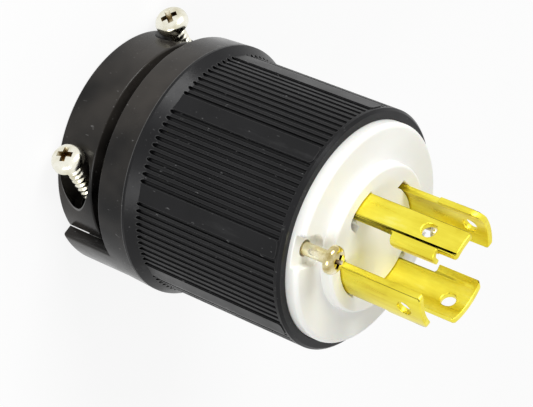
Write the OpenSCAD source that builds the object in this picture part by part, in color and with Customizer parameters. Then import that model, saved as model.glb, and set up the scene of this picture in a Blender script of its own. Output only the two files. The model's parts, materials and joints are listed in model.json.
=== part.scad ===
// Four-blade locking power plug, seen as it comes ready for wiring: its cord clamp
// and its two assembly screws are backed out. The plug stands on the rear end of its
// cord clamp. Z runs along the plug, up towards the blades. Y is the way the cord
// clamp opens. All lengths are millimetres and all angles degrees.

/* [Grip housing] */
// Diameter over the grip ribs
grip_d = 57.2; // [56:0.1:62]
// Length of the grip housing from its rear face to its front rim
grip_len = 43.3; // [41:0.1:52]
// Diameter of the rear flange where the grip meets the collar
flange_d = 61; // [60.4:0.1:66]
// Height of the straight band at the very rear of the flange
flange_band = 0.7; // [0.3:0.1:1.5]
// Length of the sloping shoulder between the flange and the ribs
shoulder_len = 3.6; // [2.5:0.1:6]
// Chamfer round the front rim
rim_chamfer = 0.6; // [0.2:0.05:1]
// Plain band between the front rim and the ends of the grooves
rim_band = 1.3; // [0.9:0.1:4]
// Wall thickness of the housing behind the face
grip_wall = 3.6; // [3:0.1:4]
// Thickness of the housing's rear web
rear_web = 3; // [2:0.1:5]
// Number of rib groups round the grip
rib_groups = 8; // [8:4:8]
// Number of grooves in each rib group
grooves = 11; // [5:1:11]
// Angle from one groove to the next
groove_pitch = 3.42; // [3:0.01:3.5]
// Width of one groove
groove_w = 0.95; // [0.6:0.05:1.1]
// Depth of one groove
groove_depth = 0.6; // [0.3:0.05:0.9]
// Share of the shoulder that the grooves run down into
groove_lead = 0.2; // [0.05:0.05:0.4]
// Width of the smooth land between two rib groups
land_w = 4.3; // [3:0.1:4.4]
// Height of the land above the ribs
land_h = 0.2; // [0.1:0.05:0.5]
// Corner radius of the land
land_corner = 0.9; // [0.3:0.1:1.4]

/* [Front face] */
// Diameter of the face
face_d = 52; // [50.5:0.1:52.6]
// Clearance between the face and the housing, on the radius
face_gap = 0.2; // [0.1:0.05:0.3]
// Depth that the face is let into the housing
face_seat = 8; // [6.5:0.1:9]
// Height of the face's shoulder above the front rim
face_proud = 3; // [2.4:0.1:4]
// Radius of the rounding round the face
face_round = 1.2; // [0.4:0.1:1.8]
// Diameter of the raised island that carries the blades
island_d = 35; // [34.4:0.1:35]
// Height of the island above the face's shoulder
island_h = 2.8; // [1.2:0.1:4]
// Rounding of the island's edge
island_round = 0.8; // [0.3:0.1:1]

/* [Blades] */
// Radius of the circle that the blades' outer sides lie on
blade_r = 13.9; // [13.6:0.1:14.1]
// Thickness of the blades
blade_t = 1.5; // [1.2:0.05:1.7]
// Clearance round a blade in its slot
slot_gap = 0.2; // [0.1:0.05:0.3]
// Width of a power blade's neck
neck_w = 9.6; // [8.4:0.1:10]
// Width of the ground blade's neck
ground_neck_w = 6.5; // [6:0.1:7.6]
// Angle from a blade's terminal to the edge that its lug grows from
lug_turn = 21; // [20:0.5:22]
// Width of the locking lug beyond the neck
lug_w = 1.8; // [1:0.1:2]
// Height of the neck, from the island up to the lug
neck_h = 9.9; // [8:0.1:12]
// Height of a power blade above the island
power_h = 21; // [19:0.1:23]
// Height of the ground blade above the island
ground_h = 26.4; // [24:0.1:28]
// Height of the top of the ground blade's inward hook
hook_h = 21.4; // [18:0.1:22]
// Width of the ground blade's hook beyond the neck, before it bends
hook_lug_w = 0.6; // [0.3:0.1:1]
// Outer radius of the hook's bend
hook_bend = 2.2; // [1.9:0.1:2.4]
// Length of the hook's straight leg
hook_leg = 1.4; // [0.8:0.1:2]
// Corner radius of the blades' tips
tip_corner = 0.8; // [0.5:0.1:2.2]
// Corner radius at the lug's side of a hot blade's tip
lug_corner = 3; // [1:0.1:4]
// Diameter of the hole near a blade's tip
blade_hole_d = 3.5; // [2.5:0.1:4]
// Height of the hole in a power blade, above the island
power_hole_h = 16.3; // [15:0.1:16.6]
// Height of the hole in the ground blade, above the island
ground_hole_h = 17.5; // [16:0.1:21]

/* [Terminals] */
// Length of the terminal block behind the face
block_len = 20.8; // [19:0.1:24]
// Clearance between the terminal block and the housing, on the radius
block_gap = 0.3; // [0.2:0.05:0.5]
// Thickness of the terminal block's front plate
block_front = 3.2; // [2.6:0.1:4]
// Thickness of the terminal block's rear wall
block_back = 2.6; // [2:0.1:3.4]
// Width of a terminal pocket
pocket_w = 10.6; // [10.1:0.1:11.4]
// Width of a blade's flat tail and of its wire clamp plate
tail_w = 9; // [8.4:0.1:9.4]
// Lap of a blade's curved root over its flat tail
root_lap = 1.2; // [0.8:0.1:2]
// Room for the wire between the tail and its clamp plate
wire_room = 3.5; // [2.6:0.1:3.7]
// Height of a wire clamp plate
plate_h = 9; // [7.5:0.1:10]
// Thickness of a wire clamp plate
plate_t = 1.6; // [1.2:0.1:1.7]
// Diameter of a wire's entry hole
wire_hole_d = 5.6; // [4:0.1:6.2]
// Thread diameter of a terminal screw
term_thread_d = 3.9; // [3:0.1:4.2]
// Length of a terminal screw below its head
term_len = 8; // [7.4:0.1:8.4]
// Head diameter of a terminal screw
term_head_d = 7.4; // [6.4:0.1:8.2]
// Head height of a terminal screw
term_head_h = 2.2; // [1.6:0.1:2.8]

/* [Assembly screws] */
// Distance of an assembly screw's axis inside the housing's bore
asm_inset = 3.7; // [3.65:0.05:3.8]
// Angle of the first assembly screw, the other is opposite
asm_turn = 135; // [132:1:138]
// Thread diameter of an assembly screw
asm_thread_d = 3.4; // [2.8:0.1:3.6]
// Length of an assembly screw below its head
asm_len = 42; // [39:0.5:46]
// Head diameter of an assembly screw
asm_head_d = 6.6; // [5.6:0.1:6.9]
// Head height of an assembly screw
asm_head_h = 2.2; // [1.6:0.1:2.6]
// Height of the underside of the head above the pocket floor
asm_out = 7; // [0:0.1:9]
// Clearance round the head in its pocket in the face
asm_pocket_gap = 0.4; // [0.2:0.05:0.5]
// Depth of the pocket below the face's shoulder
asm_pocket_depth = 2; // [1.4:0.1:4]
// Radius of the threaded post that takes an assembly screw
post_r = 3.3; // [2.8:0.05:3.4]

/* [Cord clamp] */
// Taper of the collar from the flange to its rear edge, on the radius
collar_taper = 0.35; // [0.1:0.05:0.6]
// Length of the collar
collar_len = 7.5; // [6:0.1:11]
// Thickness of the collar's rear web
collar_web = 3; // [2:0.1:4]
// Diameter of the wire passage through the collar
passage_d = 31.6; // [27:0.1:32]
// Wall thickness of the collar's locating spigot
spigot_wall = 2; // [1.6:0.1:2.2]
// Height of the spigot inside the housing
spigot_h = 2.4; // [1:0.1:4]
// Clearance of spigot and posts in the housing's rear web
spigot_gap = 0.2; // [0.1:0.05:0.3]
// Wall of the collar's front rim outside its cored groove
collar_wall = 3.4; // [2.4:0.1:4]
// Length of the fixed jaw and its wall behind the collar
jaw_len = 14.3; // [12.6:0.1:17]
// Wall thickness of the fixed jaw
jaw_wall = 2.9; // [2.6:0.1:3.2]
// Height of the top of the jaw wall above the plug's axis
jaw_lip = 1.9; // [0.8:0.1:1.9]
// Depth of the fixed jaw's inner block below the axis
jaw_drop = 6; // [4.5:0.1:7]
// Diameter of the cord that the clamp holds as it stands
cord_d = 23; // [20:0.1:24]
// Gap between the front of the saddle and the collar
jaw_slit = 3.7; // [2.5:0.1:4]
// Clearance between the saddle and the jaw wall, on the radius
saddle_gap = 0.4; // [0.3:0.05:0.6]
// Distance that the saddle stands open from its closed place
saddle_open = 1.8; // [0.5:0.1:5]
// Distance that the loose saddle lies to one side, against its screws
saddle_shift = 0.5; // [0:0.05:0.5]
// Height of the saddle's flat underside above the axis
saddle_foot = 2.2; // [2.1:0.1:3]
// Thickness of the saddle's front web
saddle_web = 2.2; // [1.5:0.1:3]
// Thickness of the saddle's outer shell
saddle_shell = 2.8; // [2:0.1:3.2]
// Thickness of the wall behind a cord groove
cradle_wall = 3; // [2:0.1:3.2]
// Width of each groove between the cord-gripping teeth
tooth_gap = 1.6; // [1:0.1:2]
// Depth of each groove between the cord-gripping teeth
tooth_depth = 1.1; // [0.5:0.1:1.6]

/* [Clamp screws] */
// Distance of a clamp screw's axis inside the collar's outer radius
clamp_inset = 9.15; // [8.9:0.05:9.6]
// Thread diameter of a clamp screw
clamp_thread_d = 4; // [3.2:0.1:4.4]
// Length of a clamp screw below its head
clamp_len = 32; // [30.5:0.5:36]
// Head diameter of a clamp screw
clamp_head_d = 7.8; // [6.8:0.1:8]
// Head height of a clamp screw
clamp_head_h = 3; // [2:0.1:3.6]
// Height of the underside of the head above the axis
clamp_head_y = 22.6; // [22.4:0.1:24]
// Radius of the open pocket round a clamp screw's head
clamp_pocket_r = 4.5; // [4.4:0.05:4.6]
// Thickness of saddle under a clamp screw's pocket
clamp_floor = 5; // [4:0.1:6.4]
// Clearance round a clamp screw in the saddle, on the radius
clamp_gap = 0.6; // [0.55:0.05:0.7]

/* [Hidden] */
$fn = 96;

// Overshoot that keeps a cut clear of the face that it starts from
over = 1;
// Gap round a thread in its own hole
thread_gap = 0.05;
// Gap between faces that stand close without touching
near_gap = 0.2;
// Step that the blades' edges are rounded to, so that their tips' curves run out cleanly
span_step = 0.01;
// Lap of a screw's shank into its head
shank_lap = 0.1;
// Length of the hook's root, back into the blade's wall
hook_root = 1.4;
// Step from the blade's sides to the sides of its hook, thinned by the bending
hook_set = 0.15;
// Share of the shoulder that the lands leave free at its rear
land_lead = 0.4;
// Facets of a groove in the meshed preview
groove_fn = 24;
// Facets of a small rounding in the meshed preview
round_fn = 48;
// A screw head's dome radius, cross recess and rim, as shares of the head
dome_share = 0.62;
recess_w_share = 0.16;
recess_l_share = 0.62;
recess_h_share = 0.6;
head_rim_share = 0.35;
// A screw's point, as a share of its thread
point_share = 0.5;

// Levels along the plug
part_z = jaw_len + collar_len;
rim_z = part_z + grip_len;
seat_z = rim_z - face_seat;
shoulder_z = rim_z + face_proud;
island_z = shoulder_z + island_h;
block_z = seat_z - block_len;
pocket_lo_z = block_z + block_back;
pocket_hi_z = seat_z - block_front;
ribs_z = part_z + shoulder_len;
web_z = jaw_len - jaw_slit;
clamp_z = web_z / 2;
clamp_hole_y = clamp_head_y - clamp_len - saddle_open;

// Radii
grip_r = grip_d / 2;
flange_r = flange_d / 2;
bore_r = grip_r - grip_wall;
face_r = face_d / 2;
island_r = island_d / 2;
block_r = bore_r - block_gap;
asm_r = bore_r - asm_inset;
collar_r = flange_r - collar_taper;
jaw_in_r = collar_r - jaw_wall;
saddle_r = jaw_in_r - saddle_gap;
cord_r = cord_d / 2;
clamp_x = collar_r - clamp_inset;
passage_r = passage_d / 2;
spigot_r = passage_r + spigot_wall;
blade_in_r = blade_r - blade_t;
group_turn = 360 / rib_groups;

// Terminals: one every quarter turn, the first at first_turn
first_turn = 81;
quarter_turn = 90;
half_turn = 180;
plate_x = blade_in_r - wire_room - plate_t;
wire_x = blade_in_r - wire_room / 2;
term_z = (pocket_lo_z + pocket_hi_z) / 2;
pocket_x = plate_x - near_gap;

// Half width on the flat that an angle spans on the blades' circle, in whole steps
function half_span(a) = round(blade_r * sin(a) / span_step) * span_step;

// ---- shapes that repeat -------------------------------------------------

// A flat rectangle with two rounded corners at its top, each of its own radius
module tip_outline(y1, y2, top, corner1, corner2) {
    side = (y1 + y2) / 2;
    translate([y1, 0]) square([side - y1, top - corner1]);
    translate([side, 0]) square([y2 - side, top - corner2]);
    translate([y1 + corner1, 0]) square([y2 - y1 - corner1 - corner2, top]);
    translate([y1 + corner1, top - corner1]) circle(corner1);
    translate([y2 - corner2, top - corner2]) circle(corner2);
}

// A flat rectangle with four rounded corners, centred on Y
module land_outline(len, w, corner) {
    translate([corner, -w / 2]) square([len - 2 * corner, w]);
    translate([0, corner - w / 2]) square([len, w - 2 * corner]);
    for (x = [corner, len - corner], y = [-1, 1])
        translate([x, y * (w / 2 - corner)]) circle(corner);
}

// A flat outline in Y and Z, cut through the blades' wall along X
module through_wall(z) {
    translate([blade_in_r / 2, 0, z]) rotate([90, 0, 90]) linear_extrude(blade_r) children();
}

// The curved wall that the blades are cut from
module blade_wall(z1, z2, grow = 0) {
    translate([0, 0, z1]) difference() {
        cylinder(h = z2 - z1, r = blade_r + grow);
        translate([0, 0, -over]) cylinder(h = z2 - z1 + 2 * over, r = blade_in_r - grow);
    }
}

// A round-headed screw along -Z with a cross recess; its head's underside is at Z = 0
module screw(head_d, head_h, thread_d, len) {
    dome_r = head_d * dome_share;
    recess_w = head_d * recess_w_share;
    recess_l = head_d * recess_l_share;
    recess_h = head_h * recess_h_share;
    point_h = thread_d * point_share;
    difference() {
        rotate_extrude() {
            intersection() {
                translate([0, head_h - dome_r]) circle(dome_r);
                square([head_d / 2, head_h]);
            }
            square([head_d / 2, head_h * head_rim_share]);
        }
        for (a = [0, 90]) rotate(a) translate([-recess_l / 2, -recess_w / 2, head_h - recess_h])
            cube([recess_l, recess_w, head_h]);
    }
    rotate_extrude() polygon([
        [0, shank_lap], [thread_d / 2, shank_lap], [thread_d / 2, point_h - len],
        [thread_d / 2 * point_share, -len], [0, -len]
    ]);
}

// ---- grip housing ------------------------------------------------------

module grip_groove() {
    // A round-bottomed groove of the asked width and depth
    r = (groove_w * groove_w / 4 + groove_depth * groove_depth) / (2 * groove_depth);
    start_z = ribs_z - shoulder_len * groove_lead;
    translate([grip_r - groove_depth + r, 0, start_z])
        cylinder(h = rim_z - rim_band - start_z, r = r, $fn = groove_fn);
}

module grip_land() {
    land_z = part_z + shoulder_len * land_lead;
    translate([bore_r + grip_wall / 2, 0, land_z]) rotate([0, -90, 0]) mirror([0, 0, 1])
        linear_extrude(grip_wall / 2 + land_h)
            land_outline(rim_z - rim_band - land_z, land_w, land_corner);
}

module housing() color([0.11, 0.11, 0.12]) difference() {
    union() {
        difference() {
            rotate_extrude() polygon([
                [0, part_z], [flange_r, part_z], [flange_r, part_z + flange_band],
                [grip_r, ribs_z], [grip_r, rim_z - rim_chamfer],
                [grip_r - rim_chamfer, rim_z], [0, rim_z]
            ]);
            for (g = [0 : rib_groups - 1], i = [0 : grooves - 1])
                rotate((g + 0.5) * group_turn + (i - (grooves - 1) / 2) * groove_pitch) grip_groove();
        }
        for (g = [0 : rib_groups - 1]) rotate(g * group_turn) grip_land();
    }
    translate([0, 0, part_z + rear_web]) cylinder(h = grip_len, r = bore_r);
    translate([0, 0, seat_z]) cylinder(h = face_seat + over, r = face_r + face_gap);
    translate([0, 0, part_z - over]) cylinder(h = rear_web + 2 * over, r = spigot_r + spigot_gap);
    for (a = [asm_turn, asm_turn + half_turn]) rotate(a) translate([asm_r, 0, part_z - over])
        cylinder(h = rear_web + 2 * over, r = post_r + spigot_gap);
}

// ---- front face --------------------------------------------------------

// The outline of a blade and its lug, as wide as the slot that it is pushed through
module blade_slot(neck, lug, z1, z2) {
    edge = half_span(lug_turn);
    intersection() {
        blade_wall(z1, z2, slot_gap);
        translate([0, edge - neck - slot_gap, z1])
            cube([blade_r + over, neck + lug + 2 * slot_gap, z2 - z1]);
    }
}

// The ground blade's hook: a root in the blade's wall, a quarter bend and a leg inwards
module hook(z1, z2, grow = 0) {
    bend_x = blade_r - hook_bend;
    in_r = hook_bend - blade_t + hook_set - grow;
    strip_t = blade_t - 2 * hook_set + 2 * grow;
    rotate(asin((half_span(lug_turn) + hook_lug_w) / blade_r)) translate([bend_x, 0, z1]) {
        translate([in_r, -hook_root, 0]) cube([strip_t, hook_root, z2 - z1]);
        rotate_extrude(angle = quarter_turn) translate([in_r, 0]) square([strip_t, z2 - z1]);
        translate([-hook_leg - grow, in_r, 0]) cube([hook_leg + grow, strip_t, z2 - z1]);
    }
}

module asm_pocket() {
    r = asm_head_d / 2 + asm_pocket_gap;
    translate([asm_r, 0, shoulder_z - asm_pocket_depth]) {
        cylinder(h = asm_pocket_depth + island_h + over, r = r);
        translate([0, -r, 0]) cube([face_r, 2 * r, asm_pocket_depth + island_h + over]);
    }
    translate([asm_r, 0, seat_z - over]) cylinder(h = face_seat + 2 * over, r = asm_thread_d / 2 + near_gap);
}

module front_face() color([0.95, 0.95, 0.92]) difference() {
    rotate_extrude() {
        translate([0, seat_z]) square([face_r, face_seat + face_proud - face_round]);
        translate([0, seat_z]) square([face_r - face_round, face_seat + face_proud]);
        translate([face_r - face_round, shoulder_z - face_round]) circle(face_round, $fn = round_fn);
        translate([0, shoulder_z]) square([island_r, island_h - island_round]);
        translate([0, shoulder_z]) square([island_r - island_round, island_h]);
        translate([island_r - island_round, island_z - island_round]) circle(island_round, $fn = round_fn);
    }
    for (a = [asm_turn, asm_turn + half_turn]) rotate(a) asm_pocket();
    for (i = [1 : 3]) rotate(first_turn + i * quarter_turn)
        blade_slot(neck_w, lug_w, seat_z - over, island_z + over);
    rotate(first_turn) {
        blade_slot(ground_neck_w, 0, seat_z - over, island_z + over);
        hook(seat_z - over, island_z + over, slot_gap);
    }
}

// ---- terminal block ----------------------------------------------------

module terminal_pocket(neck) {
    translate([pocket_x, -pocket_w / 2, pocket_lo_z])
        cube([block_r, pocket_w, pocket_hi_z - pocket_lo_z]);
    translate([wire_x, 0, block_z - over]) cylinder(h = block_back + 2 * over, d = wire_hole_d);
    translate([blade_r - term_len, 0, term_z]) rotate([0, 90, 0])
        cylinder(h = term_len, r = term_thread_d / 2 + near_gap);
    translate([blade_in_r - slot_gap, -tail_w / 2 - slot_gap, pocket_hi_z - over])
        cube([blade_t + 2 * slot_gap, tail_w + 2 * slot_gap, block_front + 2 * over]);
    blade_slot(neck, 0, seat_z - root_lap - slot_gap, seat_z + over);
}

module terminal_block() color([0.2, 0.2, 0.21]) difference() {
    translate([0, 0, block_z]) cylinder(h = block_len, r = block_r);
    for (i = [0 : 3]) rotate(first_turn + i * quarter_turn)
        terminal_pocket(i == 0 ? ground_neck_w : neck_w);
    for (a = [asm_turn, asm_turn + half_turn]) rotate(a) translate([asm_r, 0, block_z - over])
        cylinder(h = block_len + 2 * over, r = asm_thread_d / 2 + near_gap);
}

// ---- blades ------------------------------------------------------------

module blade_tail() {
    tail_z = pocket_lo_z + near_gap;
    difference() {
        translate([blade_in_r, -tail_w / 2, tail_z]) cube([blade_t, tail_w, seat_z - tail_z]);
        translate([0, 0, term_z]) rotate([0, 90, 0])
            cylinder(h = blade_r + over, r = term_thread_d / 2 + near_gap);
    }
}

module blade_hole(h, y) {
    translate([blade_in_r / 2, y, island_z + h]) rotate([0, 90, 0])
        cylinder(h = blade_r, d = blade_hole_d);
}

module power_blade(corner = lug_corner) {
    edge = half_span(lug_turn);
    root_z = seat_z - root_lap;
    difference() {
        intersection() {
            blade_wall(root_z, island_z + power_h + over);
            through_wall(root_z) {
                translate([edge - neck_w, 0]) square([neck_w, island_z + neck_h - root_z]);
                translate([0, island_z + neck_h - root_z])
                    tip_outline(edge - neck_w, edge + lug_w, power_h - neck_h, tip_corner, corner);
            }
        }
        blade_hole(power_hole_h, edge - neck_w / 2);
    }
    blade_tail();
}

module ground_blade() {
    edge = half_span(lug_turn);
    root_z = seat_z - root_lap;
    difference() {
        intersection() {
            blade_wall(root_z, island_z + ground_h + over);
            through_wall(root_z)
                tip_outline(edge - ground_neck_w, edge, island_z + ground_h - root_z,
                    tip_corner, tip_corner);
        }
        blade_hole(ground_hole_h, edge - ground_neck_w / 2);
    }
    hook(island_z + neck_h, island_z + hook_h);
    blade_tail();
}

module blade_ground() color([0.83, 0.66, 0.25]) rotate(first_turn) ground_blade();
module blade_hot_x() color([0.83, 0.66, 0.25]) rotate(first_turn + quarter_turn) power_blade();
module blade_neutral() color([0.83, 0.66, 0.25]) rotate(first_turn + half_turn) power_blade(tip_corner);
module blade_hot_y() color([0.83, 0.66, 0.25]) rotate(first_turn + 3 * quarter_turn) power_blade();

// ---- wire clamp plates and terminal screws -----------------------------

module wire_plate() {
    difference() {
        translate([plate_x, -tail_w / 2, term_z - plate_h / 2]) cube([plate_t, tail_w, plate_h]);
        translate([0, 0, term_z]) rotate([0, 90, 0])
            cylinder(h = blade_r, r = term_thread_d / 2 + thread_gap);
    }
}

module terminal_screw() {
    translate([blade_r + near_gap / 2, 0, term_z]) rotate([0, 90, 0])
        screw(term_head_d, term_head_h, term_thread_d, term_len);
}

module wire_plate_ground() color([0.75, 0.6, 0.25]) rotate(first_turn) wire_plate();
module wire_plate_hot_x() color([0.75, 0.6, 0.25]) rotate(first_turn + quarter_turn) wire_plate();
module wire_plate_neutral() color([0.75, 0.6, 0.25]) rotate(first_turn + half_turn) wire_plate();
module wire_plate_hot_y() color([0.75, 0.6, 0.25]) rotate(first_turn + 3 * quarter_turn) wire_plate();
module terminal_screw_ground() color([0.2, 0.5, 0.25]) rotate(first_turn) terminal_screw();
module terminal_screw_hot_x() color([0.8, 0.62, 0.25]) rotate(first_turn + quarter_turn) terminal_screw();
module terminal_screw_neutral() color([0.8, 0.8, 0.8]) rotate(first_turn + half_turn) terminal_screw();
module terminal_screw_hot_y() color([0.8, 0.62, 0.25]) rotate(first_turn + 3 * quarter_turn) terminal_screw();

// ---- assembly screws ---------------------------------------------------

module assembly_screw(a) {
    rotate(a) translate([asm_r, 0, shoulder_z - asm_pocket_depth + asm_out])
        screw(asm_head_d, asm_head_h, asm_thread_d, asm_len);
}

module assembly_screw_a() color([0.82, 0.78, 0.68]) assembly_screw(asm_turn);
module assembly_screw_b() color([0.82, 0.78, 0.68]) assembly_screw(asm_turn + half_turn);

// ---- cord clamp --------------------------------------------------------

// Grooves round the cord that leave gripping teeth between them
module tooth_grooves(z1, z2) {
    step = (z2 - z1) / 4;
    for (k = [1, 3]) translate([0, 0, z1 + k * step - tooth_gap / 2])
        cylinder(h = tooth_gap, r = cord_r + tooth_depth);
}

// A cored pocket on each side of the cord, open to the rear
module jaw_core(y1, y2, out_r, out_y, z2) {
    for (s = [0, 1]) mirror([s, 0, 0]) intersection() {
        translate([0, out_y, -over]) cylinder(h = z2 + over, r = out_r);
        difference() {
            translate([0, y1, -over])
                cube([clamp_x - saddle_shift - clamp_pocket_r - near_gap, y2 - y1, z2 + over]);
            translate([0, 0, -2 * over]) cylinder(h = z2 + 3 * over, r = cord_r + tooth_depth + cradle_wall);
        }
    }
}

module clamp_body() color([0.12, 0.12, 0.13]) difference() {
    union() {
        // The collar, with a cored groove in its front, and the spigot inside it
        rotate_extrude() polygon([
            [passage_r, jaw_len], [collar_r, jaw_len], [flange_r, part_z],
            [flange_r - collar_wall, part_z], [flange_r - collar_wall, jaw_len + collar_web],
            [spigot_r, jaw_len + collar_web], [spigot_r, part_z + spigot_h], [passage_r, part_z + spigot_h]
        ]);
        for (a = [asm_turn, asm_turn + half_turn]) rotate(a) translate([asm_r, 0, jaw_len + collar_web / 2])
            cylinder(h = block_z - near_gap - jaw_len - collar_web / 2, r = post_r);
        intersection() {
            cylinder(h = jaw_len + over, r = collar_r);
            translate([-collar_r, -collar_r, 0]) cube([2 * collar_r, collar_r + jaw_lip, jaw_len + over]);
        }
    }
    // Room for the saddle, and the wire passage
    translate([0, 0, -over]) cylinder(h = part_z + spigot_h, r = cord_r);
    intersection() {
        translate([0, 0, -over]) cylinder(h = jaw_len + over, r = jaw_in_r);
        translate([-collar_r, -jaw_drop, -over]) cube([2 * collar_r, 2 * collar_r, jaw_len + over]);
    }
    translate([0, 0, jaw_len - over]) cylinder(h = collar_len, r = passage_r);
    tooth_grooves(0, web_z);
    jaw_core(-jaw_in_r, -jaw_drop - cradle_wall, jaw_in_r - saddle_shell, 0, web_z - saddle_web);
    // Screw holes, deeper than the screws by as much as the saddle stands open
    for (s = [-1, 1]) translate([s * clamp_x, clamp_hole_y, clamp_z]) rotate([-90, 0, 0])
        cylinder(h = over - jaw_drop - clamp_hole_y, r = clamp_thread_d / 2 + thread_gap);
    for (a = [asm_turn, asm_turn + half_turn]) rotate(a) translate([asm_r, 0, jaw_len + collar_web])
        cylinder(h = rim_z, r = asm_thread_d / 2 + thread_gap);
}

module clamp_saddle() color([0.13, 0.13, 0.14]) difference() {
    translate([-saddle_shift, 0, 0]) difference() {
        intersection() {
            translate([0, saddle_open, 0]) cylinder(h = web_z, r = saddle_r);
            translate([-saddle_r, saddle_foot, 0]) cube([2 * saddle_r, 2 * saddle_r, web_z]);
        }
        jaw_core(saddle_foot + cradle_wall, 2 * saddle_r,
            saddle_r - saddle_shell, saddle_open, web_z - saddle_web);
        for (s = [-1, 1]) translate([s * clamp_x, 0, clamp_z]) rotate([-90, 0, 0]) {
            cylinder(h = 2 * saddle_r, r = clamp_thread_d / 2 + clamp_gap);
            translate([0, 0, saddle_foot + clamp_floor]) cylinder(h = 2 * saddle_r, r = clamp_pocket_r);
        }
    }
    translate([0, 0, -over]) cylinder(h = web_z + 2 * over, r = cord_r);
    tooth_grooves(0, web_z);
}

module clamp_screw(side) {
    translate([side * clamp_x, clamp_head_y, clamp_z]) rotate([-90, 0, 0])
        screw(clamp_head_d, clamp_head_h, clamp_thread_d, clamp_len);
}

module clamp_screw_left() color([0.82, 0.78, 0.68]) clamp_screw(-1);
module clamp_screw_right() color([0.82, 0.78, 0.68]) clamp_screw(1);

// ---- the nodes ---------------------------------------------------------

housing();
clamp_body();
clamp_saddle();
clamp_screw_left();
clamp_screw_right();
front_face();
terminal_block();
blade_ground();
blade_hot_x();
blade_neutral();
blade_hot_y();
wire_plate_ground();
wire_plate_hot_x();
wire_plate_neutral();
wire_plate_hot_y();
terminal_screw_ground();
terminal_screw_hot_x();
terminal_screw_neutral();
terminal_screw_hot_y();
assembly_screw_a();
assembly_screw_b();
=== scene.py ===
import bpy, bmesh, math, json
from mathutils import Vector, Matrix


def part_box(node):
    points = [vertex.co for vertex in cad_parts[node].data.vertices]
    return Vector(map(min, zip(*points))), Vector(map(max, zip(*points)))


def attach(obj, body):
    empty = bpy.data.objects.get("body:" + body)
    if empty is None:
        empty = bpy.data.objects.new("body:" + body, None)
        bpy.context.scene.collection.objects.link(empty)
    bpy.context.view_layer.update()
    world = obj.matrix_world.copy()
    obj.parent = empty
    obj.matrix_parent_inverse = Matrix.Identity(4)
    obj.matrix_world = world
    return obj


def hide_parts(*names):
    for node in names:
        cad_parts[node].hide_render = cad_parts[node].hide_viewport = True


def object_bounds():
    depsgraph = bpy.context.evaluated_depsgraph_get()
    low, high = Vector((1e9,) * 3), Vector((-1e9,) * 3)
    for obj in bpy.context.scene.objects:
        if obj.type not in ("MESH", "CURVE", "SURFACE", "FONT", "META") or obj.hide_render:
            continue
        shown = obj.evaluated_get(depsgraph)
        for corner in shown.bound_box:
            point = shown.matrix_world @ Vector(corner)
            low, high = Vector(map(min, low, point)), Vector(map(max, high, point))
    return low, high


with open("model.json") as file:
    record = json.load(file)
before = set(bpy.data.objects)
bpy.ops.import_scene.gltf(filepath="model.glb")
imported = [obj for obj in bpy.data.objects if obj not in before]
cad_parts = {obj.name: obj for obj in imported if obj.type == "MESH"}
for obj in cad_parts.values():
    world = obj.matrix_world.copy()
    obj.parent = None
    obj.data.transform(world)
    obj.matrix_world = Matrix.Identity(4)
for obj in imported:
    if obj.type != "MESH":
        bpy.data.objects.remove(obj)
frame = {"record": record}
lo0, hi0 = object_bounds()
scene = bpy.context.scene
MM = 0.001
TURN = 2 * math.pi
PLAIN = (0, 0, 0)
FULL = (1, 1, 1)

# ---- camera ------------------------------------------------------------
cam = bpy.data.cameras.new("camera")
cam.lens = 148.593
cam.sensor_width = 36
cam.clip_end = 10
cam_ob = bpy.data.objects.new("camera", cam)
scene.collection.objects.link(cam_ob)
cam_ob.location = (-0.171424, 0.390780, 0.309094)
cam_ob.rotation_euler = [math.radians(v) for v in (-31.1597, -51.4599, -28.8941)]
scene.camera = cam_ob
scene.view_settings.view_transform = "Standard"


# ---- materials ---------------------------------------------------------
def grey(level):
    return (level, level, level)


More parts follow.
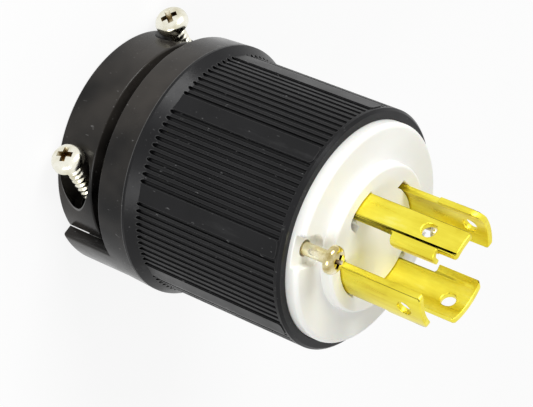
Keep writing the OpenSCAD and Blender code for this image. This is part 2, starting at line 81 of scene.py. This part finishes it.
class Mat:
    """A small helper round one node material."""

    def __init__(self, name):
        self.m = bpy.data.materials.new(name)
        self.m.use_nodes = True
        self.t = self.m.node_tree
        self.b = self.t.nodes["Principled BSDF"]
        self.co = self.t.nodes.new("ShaderNodeTexCoord").outputs["Object"]

    def node(self, kind, **props):
        n = self.t.nodes.new(kind)
        for k, v in props.items():
            setattr(n, k, v)
        return n

    def link(self, a, b):
        self.t.links.new(a, b)

    def noise(self, scale, detail=3, rough=0.55, stretch=FULL):
        mp = self.node("ShaderNodeMapping")
        mp.inputs["Scale"].default_value = stretch
        self.link(self.co, mp.inputs["Vector"])
        n = self.node("ShaderNodeTexNoise")
        n.inputs["Scale"].default_value = scale
        n.inputs["Detail"].default_value = detail
        n.inputs["Roughness"].default_value = rough
        self.link(mp.outputs["Vector"], n.inputs["Vector"])
        return n.outputs["Fac"]

    def ramp(self, fac, stops):
        r = self.node("ShaderNodeValToRGB")
        el = r.color_ramp.elements
        while len(el) < len(stops):
            el.new(0.5)
        for e, (p, c) in zip(el, stops):
            e.position = p
            e.color = (*c, 1)
        self.link(fac, r.inputs["Fac"])
        return r.outputs["Color"]

    def span(self, fac, lo, hi, a=0.3, b=0.7):
        r = self.node("ShaderNodeMapRange")
        r.inputs["From Min"].default_value = a
        r.inputs["From Max"].default_value = b
        r.inputs["To Min"].default_value = lo
        r.inputs["To Max"].default_value = hi
        self.link(fac, r.inputs["Value"])
        return r.outputs["Result"]

    def mix(self, fac, a, b, mode="MIX"):
        x = self.node("ShaderNodeMix", data_type="RGBA", blend_type=mode)
        x.inputs[0].default_value = fac
        self.link(a, x.inputs[6])
        self.link(b, x.inputs[7])
        return x.outputs[2]

    def bump(self, fac, depth, strength, soft=0.0):
        n = self.node("ShaderNodeBump")
        n.inputs["Strength"].default_value = strength
        n.inputs["Distance"].default_value = depth
        self.link(fac, n.inputs["Height"])
        if soft:
            v = self.node("ShaderNodeBevel", samples=6)
            v.inputs["Radius"].default_value = soft
            self.link(v.outputs["Normal"], n.inputs["Normal"])
        self.link(n.outputs["Normal"], self.b.inputs["Normal"])

    def hollow(self, reach, inside=False):
        """How open a spot is on the piece itself: low in recesses, holes and thread roots,
        or, taken on the inside, low along outer edges."""
        n = self.node("ShaderNodeAmbientOcclusion", samples=8, only_local=True, inside=inside)
        n.inputs["Distance"].default_value = reach
        return n.outputs["AO"]

    def set(self, **vals):
        for k, v in vals.items():
            self.b.inputs[k.replace("_", " ")].default_value = v

    def colour(self, out):
        self.link(out, self.b.inputs["Base Color"])

    def rough(self, out):
        self.link(out, self.b.inputs["Roughness"])


EDGE_REACH = 0.00025
DENT = 0.00004
DUST_SHARE = 6


def moulded(name, dark, light, r0, r1, grain=0.00002, soft=0.0, scuff=0.0, edge_highlight=0.0,
            patch=(0.3, 0.7)):
    """Moulded plastic: a fine grain, slow tone changes (painted reflections on the smooth one),
    faint scuffs, specks of dust and outer edges painted lighter as a painted highlight."""
    m = Mat(name)
    slow = m.noise(42, 3)
    base = m.ramp(slow, [(patch[0], dark), (patch[1], light)])
    if scuff:
        fine = m.noise(260, 6, 0.7, (1, 1, 0.15))
        marks = m.ramp(fine, [(0.6, PLAIN), (0.8, grey(scuff))])
        base = m.mix(1.0, base, marks, "ADD")
        specks = m.noise(1500, 2, 0.5, (1, 1, 0.4))
        dust = m.ramp(specks, [(0.70, PLAIN), (0.78, grey(scuff * DUST_SHARE))])
        base = m.mix(1.0, base, dust, "ADD")
    # Painted highlight: outer edges and rib edges are lightened by adding this grey.
    if edge_highlight:
        edges = m.ramp(m.hollow(EDGE_REACH, inside=True), [(0.45, grey(edge_highlight)), (0.85, PLAIN)])
        base = m.mix(1.0, base, edges, "ADD")
    m.colour(base)
    m.rough(m.span(m.noise(120, 5), r0, r1))
    m.bump(m.noise(2600, 4, 0.6), grain, 0.5, soft)
    return m


def metal(name, stops, r0, r1, streak=(1, 1, 0.06), scale=420, patch=70, grime=None, reach=0.0):
    """Plated or stamped metal: drawn streaks, stains, painted shade and grime darkening its recesses, uneven
    gloss.
    """
    m = Mat(name)
    lines = m.noise(scale, 5, 0.6, streak)
    blot = m.noise(patch, 4, 0.6)
    both = m.mix(0.45, m.ramp(lines, [(0.25, PLAIN), (0.75, FULL)]),
                 m.ramp(blot, [(0.3, PLAIN), (0.7, FULL)]))
    shade = m.ramp(both, stops)
    # Painted shade, with some grime on the screws: recesses, holes and thread roots are darkened towards this
    # colour.
    if grime:
        shade_and_grime = m.ramp(m.hollow(reach), [(0.35, grime), (0.8, FULL)])
        shade = m.mix(1.0, shade, shade_and_grime, "MULTIPLY")
    m.colour(shade)
    m.rough(m.span(m.noise(scale, 5, 0.65, streak), r0, r1))
    dents = m.mix(0.5, m.ramp(lines, [(0, PLAIN), (1, FULL)]), m.ramp(blot, [(0, PLAIN), (1, FULL)]))
    m.bump(dents, DENT, 0.7)
    m.set(Metallic=1.0)
    return m


# Both black plastics get a painted highlight along their outer and rib edges.
black = moulded("black_nylon", (0.003, 0.003, 0.0035), (0.009, 0.009, 0.010), 0.26, 0.40,
                soft=0.00012, scuff=0.018, edge_highlight=0.030)
# The smooth black plastic's lighter, warm patches are painted reflections over its own dark tone.
smooth = moulded("black_nylon_smooth", (0.003, 0.003, 0.003), (0.036, 0.032, 0.028), 0.15, 0.30,
                 scuff=0.014, edge_highlight=0.12, patch=(0.38, 0.68))
inner = moulded("inner_nylon", (0.018, 0.018, 0.020), (0.032, 0.032, 0.035), 0.5, 0.62)
for m in (black, smooth):
    m.set(Specular_IOR_Level=0.19)
white = moulded("white_nylon", (0.86, 0.86, 0.82), (0.93, 0.93, 0.90), 0.34, 0.46, 0.00001)
white.set(Subsurface_Weight=0.08, Subsurface_Scale=0.004)
# The blades' recess colour is painted shade: their holes and inner corners are darkened brown.
brass = metal("blade_brass",
              [(0.10, (0.62, 0.47, 0.03)), (0.35, (0.80, 0.67, 0.05)),
               (0.62, (0.90, 0.79, 0.08)), (0.92, (0.96, 0.90, 0.24))],
              0.24, 0.40, (1, 1, 0.12), 500, grime=(0.30, 0.20, 0.08), reach=0.0016)
plate = metal("plate_brass",
              [(0.2, (0.50, 0.33, 0.08)), (0.5, (0.72, 0.52, 0.16)), (0.85, (0.88, 0.72, 0.36))],
              0.25, 0.45)


def screw_metal(name, stops, r0, r1, **more):
    return metal(name, stops, r0, r1, FULL, 300, 90, **more)


# The screws' recess colours paint shade, with some grime, into their cross recesses and thread roots.
plated = screw_metal("plated_steel",
                     [(0.2, (0.66, 0.62, 0.46)), (0.5, (0.86, 0.84, 0.72)), (0.85, (0.96, 0.95, 0.88))],
                     0.12, 0.28, grime=(0.30, 0.21, 0.09), reach=0.0022)
aged = screw_metal("plated_steel_aged",
                   [(0.2, (0.42, 0.33, 0.12)), (0.5, (0.78, 0.70, 0.42)), (0.85, (0.96, 0.94, 0.82))],
                   0.10, 0.22, grime=(0.12, 0.06, 0.02), reach=0.0026)
green = screw_metal("green_screw",
                    [(0.2, (0.01, 0.12, 0.03)), (0.6, (0.03, 0.28, 0.09)), (0.9, (0.10, 0.42, 0.18))],
                    0.2, 0.4)
silver = screw_metal("silver_screw", [(0.2, grey(0.45)), (0.6, grey(0.68)), (0.9, grey(0.85))], 0.18, 0.36)
yellow = screw_metal("brass_screw",
                     [(0.2, (0.50, 0.32, 0.07)), (0.6, (0.76, 0.56, 0.18)), (0.9, (0.90, 0.76, 0.40))],
                     0.18, 0.36)

FINISH = {"black_nylon": black, "black_nylon_smooth": smooth, "inner_nylon": inner, "white_nylon": white,
          "blade_brass": brass, "plate_brass": plate, "plated_steel": plated,
          "green_screw": green, "silver_screw": silver, "brass_screw": yellow}
SLOT = {s["node"]: s["material_slot"] for s in frame["record"]["subparts"]}


def dress(ob, m):
    ob.data.materials.clear()
    ob.data.materials.append(m.m)


for name, slot in SLOT.items():
    dress(bpy.data.objects[name], FINISH[slot])


# ---- pieces ------------------------------------------------------------
def piece(name, me, slot, *nodes, finish=None):
    ob = bpy.data.objects.new(name, me)
    scene.collection.objects.link(ob)
    dress(ob, finish or FINISH[slot])
    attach(ob, "root")
    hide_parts(*nodes)
    return ob


def baked(me, *mods):
    """A mesh with the given modifiers applied to it."""
    tmp = bpy.data.objects.new("tmp", me)
    scene.collection.objects.link(tmp)
    for kind, props in mods:
        m = tmp.modifiers.new(kind, kind)
        for k, v in props.items():
            setattr(m, k, v)
    out = bpy.data.meshes.new_from_object(tmp.evaluated_get(bpy.context.evaluated_depsgraph_get()))
    bpy.data.objects.remove(tmp)
    return out


HARD_EDGE = math.radians(35)


def softened(node, width, pick, segments):
    """The CAD solid again, with its hard edges rounded as the moulded or stamped piece has them.
    pick says how much of the width an edge gets, from its middle point and its direction."""
    bm = bmesh.new()
    bm.from_mesh(bpy.data.objects[node].data)
    bmesh.ops.remove_doubles(bm, verts=bm.verts, dist=0.002 * MM)
    bmesh.ops.dissolve_limit(bm, angle_limit=math.radians(0.5), verts=bm.verts, edges=bm.edges)
    weight = bm.edges.layers.float.new("bevel_weight_edge")
    for e in bm.edges:
        if len(e.link_faces) == 2 and e.calc_face_angle(0) > HARD_EDGE:
            a, b = e.verts[0].co, e.verts[1].co
            e[weight] = pick((a + b) / 2, (b - a).normalized())
            e.smooth = e[weight] > 0
    for f in bm.faces:
        f.smooth = True
    me = bpy.data.meshes.new(node)
    bm.to_mesh(me)
    bm.free()
    return baked(me, ("BEVEL", dict(width=width, segments=segments, limit_method="WEIGHT",
                                    use_clamp_overlap=False)),
                 ("WEIGHTED_NORMAL", dict(mode="FACE_AREA", weight=100, keep_sharp=True)),
                 ("TRIANGULATE", dict(keep_custom_normals=True)))


RINGS_A_PITCH = 10     # rings of points in one turn of a thread
THREAD_TURNS = 40      # points round a thread
HEAD_TURNS = 56        # points round a head
DOME_STEPS = 12
RIM_SHARE = 0.30       # the head's rim, as a share of its height
SLOT_DEPTH = 0.62      # the cross recess, as a share of the head's height
SLOT_WAY_OUT = 0.3     # how far its cutter passes the top


def screw(head_r, head_h, r, length, pitch, depth, plain):
    """A pan-headed cross-recess screw along -Z with a real helical thread.
    Its head's underside is at Z = 0."""
    bm = bmesh.new()
    step = pitch / RINGS_A_PITCH
    tip = r * 0.9
    rings = []
    for i in range(int(length / step) + 1):
        z = -length + i * step
        ring = []
        for j in range(THREAD_TURNS):
            a = TURN * j / THREAD_TURNS
            f = (z / pitch - j / THREAD_TURNS) % 1.0
            crest = max(0.0, 1 - abs(f - 0.5) * 2.6)
            fade = min(1, max(0, (-z - plain) / pitch))
            q = r - depth * 0.55 + (depth * min(1.0, crest * 1.35) - depth * 0.45) * fade
            taper = min(1, (z + length) / tip * 0.45 + 0.55)
            at = (q * taper * math.cos(a), q * taper * math.sin(a), min(z, 0.1 * MM))
            ring.append(bm.verts.new(at))
        rings.append(ring)
    for A, B in zip(rings, rings[1:]):
        for j in range(THREAD_TURNS):
            k = (j + 1) % THREAD_TURNS
            bm.faces.new((A[j], A[k], B[k], B[j]))
    bm.faces.new(list(reversed(rings[0])))
    bm.faces.new(rings[-1])
    shank = bpy.data.meshes.new("shank")
    bm.to_mesh(shank)
    bm.free()
    # The head: a low dome over a short rim, its edges eased
    bm = bmesh.new()
    prof = [(0.0, 0.0), (head_r * 0.93, 0.0), (head_r, head_h * 0.07), (head_r, head_h * RIM_SHARE)]
    for i in range(1, DOME_STEPS + 1):
        t = i / DOME_STEPS * math.pi / 2
        rise = head_h * RIM_SHARE + head_h * 0.70 * math.sin(t) ** 0.95
        prof.append((head_r * math.cos(t) ** 0.62, rise))
    n = HEAD_TURNS
    rows = []
    for rr, z in prof:
        if rr < 0.0001 * MM:
            rows.append([bm.verts.new((0, 0, z))])
        else:
            angles = [TURN * j / n for j in range(n)]
            rows.append([bm.verts.new((rr * math.cos(a), rr * math.sin(a), z)) for a in angles])
    for A, B in zip(rows, rows[1:]):
        for j in range(n):
            k = (j + 1) % n
            if len(A) == 1:
                bm.faces.new((A[0], B[k], B[j]))
            elif len(B) == 1:
                bm.faces.new((A[j], A[k], B[0]))
            else:
                bm.faces.new((A[j], A[k], B[k], B[j]))
    head = bpy.data.meshes.new("head")
    bm.to_mesh(head)
    bm.free()
    # The cross recess, narrowing downwards
    cutters = []
    for turn in (0, 90):
        bm = bmesh.new()
        floor_z = head_h - head_h * SLOT_DEPTH
        top = head_h + head_h * SLOT_WAY_OUT
        v = []
        for z, lx, ly in ((floor_z, head_r * 0.22, head_r * 0.12), (top, head_r * 0.66, head_r * 0.19)):
            v += [bm.verts.new((sx * lx, sy * ly, z)) for sx, sy in ((-1, -1), (1, -1), (1, 1), (-1, 1))]
        for f in ((3, 2, 1, 0), (4, 5, 6, 7), (0, 1, 5, 4), (1, 2, 6, 5), (2, 3, 7, 6), (3, 0, 4, 7)):
            bm.faces.new([v[i] for i in f])
        bmesh.ops.rotate(bm, verts=bm.verts, matrix=Matrix.Rotation(math.radians(turn), 3, "Z"))
        cm = bpy.data.meshes.new("cut")
        bm.to_mesh(cm)
        bm.free()
        co = bpy.data.objects.new("cut", cm)
        scene.collection.objects.link(co)
        cutters.append(co)
    bpy.context.view_layer.update()
    head = baked(head, *[("BOOLEAN", dict(operation="DIFFERENCE", solver="EXACT", object=c)) for c in cutters])
    for c in cutters:
        bpy.data.objects.remove(c)
    bm = bmesh.new()
    bm.from_mesh(head)
    bm.from_mesh(shank)
    me = bpy.data.meshes.new("screw")
    bm.to_mesh(me)
    bm.free()
    for p in me.polygons:
        p.use_smooth = True
    me.set_sharp_from_angle(angle=math.radians(32))
    return me


def placed(me, m):
    me.transform(m)
    me.update()
    return me


CLAMP_HEAD_H = 3.0 * MM
ASM_HEAD_H = 2.2 * MM

# The clamp screws lie across the plug and the assembly screws along it
for node, spin in (("clamp_screw_left", 18), ("clamp_screw_right", 52)):
    lo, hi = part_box(node)
    me = screw((hi[0] - lo[0]) / 2, CLAMP_HEAD_H, 2.0 * MM, hi[1] - lo[1] - CLAMP_HEAD_H,
               pitch=1.55 * MM, depth=0.42 * MM, plain=0.6 * MM)
    m = Matrix.Translation(((lo[0] + hi[0]) / 2, hi[1] - CLAMP_HEAD_H, (lo[2] + hi[2]) / 2))
    m = m @ Matrix.Rotation(math.radians(-90), 4, "X") @ Matrix.Rotation(math.radians(spin), 4, "Z")
    piece(node + "_threaded", placed(me, m), "plated_steel", node)
for node, spin in (("assembly_screw_a", 30), ("assembly_screw_b", 70)):
    lo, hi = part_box(node)
    me = screw((hi[0] - lo[0]) / 2, ASM_HEAD_H, 1.7 * MM, hi[2] - lo[2] - ASM_HEAD_H,
               pitch=1.2 * MM, depth=0.33 * MM, plain=19 * MM)
    m = Matrix.Translation(((lo[0] + hi[0]) / 2, (lo[1] + hi[1]) / 2, hi[2] - ASM_HEAD_H))
    m = m @ Matrix.Rotation(math.radians(spin), 4, "Z")
    piece(node + "_threaded", placed(me, m), "plated_steel", node, finish=aged)

# The blades' outlines are eased by the stamping
ISLAND_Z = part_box("front_face")[1][2]
BLADES = ("blade_ground", "blade_hot_x", "blade_neutral", "blade_hot_y")


def blade_edges(c, d):
    return 1.0 if c.z > ISLAND_Z - 2 * MM else 0.0


for node in BLADES:
    piece(node + "_stamped", softened(node, 0.28 * MM, blade_edges, 3), "blade_brass", node)

# The jaw, the saddle and the collar have the round edges of their moulds
WEB_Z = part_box("clamp_saddle")[1][2]
COLLAR_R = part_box("clamp_body")[1][0]
JAW_Z = WEB_Z + 3.7 * MM
LIP_Y = 1.9 * MM
SADDLE_X, SADDLE_Y = -0.5 * MM, 1.8 * MM    # the middle of the saddle's round side
SADDLE_R = 26.6 * MM                        # just inside that side
SADDLE_FOOT = 2.25 * MM                     # just past the saddle's feet
NEAR = 0.05 * MM
ON = 0.02 * MM


def rim(c):
    return math.hypot(c.x, c.y) > COLLAR_R - 0.9 * MM


def body_edges(c, d):
    on_lip = abs(c.y - LIP_Y) < ON
    if c.z < JAW_Z - 0.5 * MM and on_lip and abs(d.z) > 0.9:
        return 1.0 if math.hypot(c.x, c.y) > COLLAR_R - 1.2 * MM else 0.5
    if rim(c) and c.z < 2 * NEAR:
        return 0.7
    if rim(c) and abs(c.z - JAW_Z) < NEAR and c.y > LIP_Y:
        return 0.4
    return 0.5 if on_lip and c.z < NEAR else 0.0


def saddle_edges(c, d):
    if c.y < SADDLE_FOOT:
        return 0.5
    if math.hypot(c.x - SADDLE_X, c.y - SADDLE_Y) > SADDLE_R and abs(d.z) < 0.95:
        return 1.0 if c.z < NEAR or c.z > WEB_Z - NEAR else 0.3
    return 0.0


def face_edges(c, d):
    return 1.0 if c.z > ISLAND_Z - 6 * MM else 0.0


for node, slot, width, pick, segments in (
        ("clamp_saddle", "black_nylon_smooth", 0.5 * MM, saddle_edges, 3),
        ("clamp_body", "black_nylon_smooth", 0.8 * MM, body_edges, 3),
        ("front_face", "white_nylon", 0.25 * MM, face_edges, 2)):
    piece(node + "_moulded", softened(node, width, pick, segments), slot, node)


# ---- floor, light, world -----------------------------------------------
def background_rays(nt):
    """1 where the camera sees the background or a surface mirrors it, else 0."""
    path = nt.nodes.new("ShaderNodeLightPath")
    seen = path.outputs["Is Camera Ray"]
    for ray in ("Is Glossy Ray", "Is Transmission Ray"):
        either = nt.nodes.new("ShaderNodeMath")
        either.operation = "MAXIMUM"
        nt.links.new(seen, either.inputs[0])
        nt.links.new(path.outputs[ray], either.inputs[1])
        seen = either.outputs[0]
    return seen


def spread(nt, value, lo, hi):
    level = nt.nodes.new("ShaderNodeMapRange")
    level.inputs["To Min"].default_value = lo
    level.inputs["To Max"].default_value = hi
    nt.links.new(value, level.inputs["Value"])
    return level.outputs["Result"]


FLOOR = 3
FLOOR_DROP = 0.0002
FLOOR_PALE = 0.85      # the share of plain white that the camera sees in the floor

me = bpy.data.meshes.new("floor")
corners = [(-FLOOR, -FLOOR, 0), (FLOOR, -FLOOR, 0), (FLOOR, FLOOR, 0), (-FLOOR, FLOOR, 0)]
me.from_pydata(corners, [], [(0, 1, 2, 3)])
floor = bpy.data.objects.new("floor", me)
scene.collection.objects.link(floor)
floor.location.z = lo0[2] - FLOOR_DROP
fm = bpy.data.materials.new("floor")
fm.use_nodes = True
nt = fm.node_tree
bs = nt.nodes["Principled BSDF"]
bs.inputs["Base Color"].default_value = (0.94, 0.94, 0.94, 1)
bs.inputs["Roughness"].default_value = 0.9
bs.inputs["Specular IOR Level"].default_value = 0.0
pale = nt.nodes.new("ShaderNodeEmission")
mixed = nt.nodes.new("ShaderNodeMixShader")
nt.links.new(spread(nt, background_rays(nt), 0.0, FLOOR_PALE), mixed.inputs[0])
nt.links.new(bs.outputs[0], mixed.inputs[1])
nt.links.new(pale.outputs[0], mixed.inputs[2])
nt.links.new(mixed.outputs[0], nt.nodes["Material Output"].inputs["Surface"])
floor.data.materials.append(fm)

w = bpy.data.worlds.new("studio")
scene.world = w
w.use_nodes = True
nt = w.node_tree
back = nt.nodes["Background"]
back.inputs[0].default_value = (1, 1, 1, 1)
# White where it is seen or mirrored, and a plain grey light everywhere else
nt.links.new(spread(nt, background_rays(nt), 0.5, 1.0), back.inputs["Strength"])


LAMP_AIM = (0, 0, 0.05)


def lamp(name, where, size, watts):
    d = bpy.data.lights.new(name, "AREA")
    d.shape = "RECTANGLE"
    d.size, d.size_y = size
    d.energy = watts
    o = bpy.data.objects.new(name, d)
    scene.collection.objects.link(o)
    o.location = where
    o.rotation_euler = (Vector(LAMP_AIM) - Vector(where)).to_track_quat("-Z", "Y").to_euler()


lamp("key", (0.45, 0.75, 0.55), (0.5, 0.5), 7.0)
lamp("side", (-0.75, 0.35, 0.35), (0.35, 0.6), 3.0)
